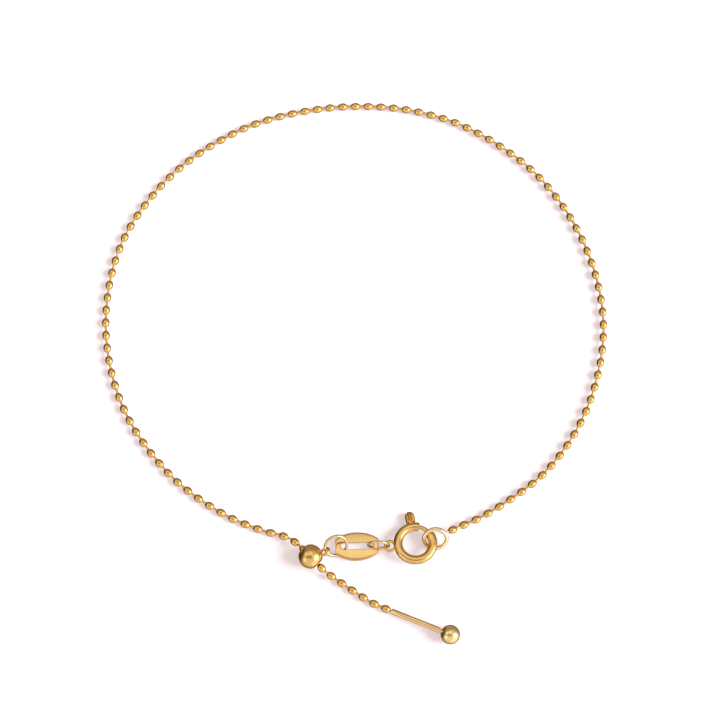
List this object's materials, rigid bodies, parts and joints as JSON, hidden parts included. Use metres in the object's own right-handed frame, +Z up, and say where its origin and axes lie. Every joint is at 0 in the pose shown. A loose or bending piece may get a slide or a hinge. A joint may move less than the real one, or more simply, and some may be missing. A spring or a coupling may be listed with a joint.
{
  "type": "chain bracelet",
  "caption": "Adjustable bead-chain bracelet with a spring ring clasp, a slotted tag, a slider ball and a tail that ends in a bar and ball; it closes round a wrist.",
  "frame": {"origin": "middle of the bracelet's outline, on the surface it lies on", "axes": "+Z up from the surface, +Y across the loop away from the clasp, +X along the row of fittings towards the clasp"},
  "size_m": [0.065, 0.0715, 0.003],
  "materials": {
    "gold_beads": "polished yellow gold",
    "gold_wire": "polished yellow gold",
    "gold_sheet": "polished yellow gold",
    "gold_fittings": "polished yellow gold"
  },
  "bodies": {
    "bracelet": {"bead_chain": "gold_beads", "end_ring": "gold_wire", "clasp_body": "gold_fittings", "link_ring": "gold_wire", "tag": "gold_sheet", "slider_ring": "gold_wire", "slider_ball": "gold_fittings", "needle_bar": "gold_fittings", "stop_ball": "gold_fittings"},
    "trigger": {"clasp_trigger": "gold_fittings"}
  },
  "joints": [
    {"name": "trigger_pull", "type": "hinge", "parent": "bracelet", "child": "trigger", "pos_m": [0.00747, -0.02337, 0.00114], "axis": [0, 0.1564, 0.9877], "range_deg": [0, 42], "stiffness_Nm_per_rad": 0.004, "springref_deg": -11.46}
  ]
}
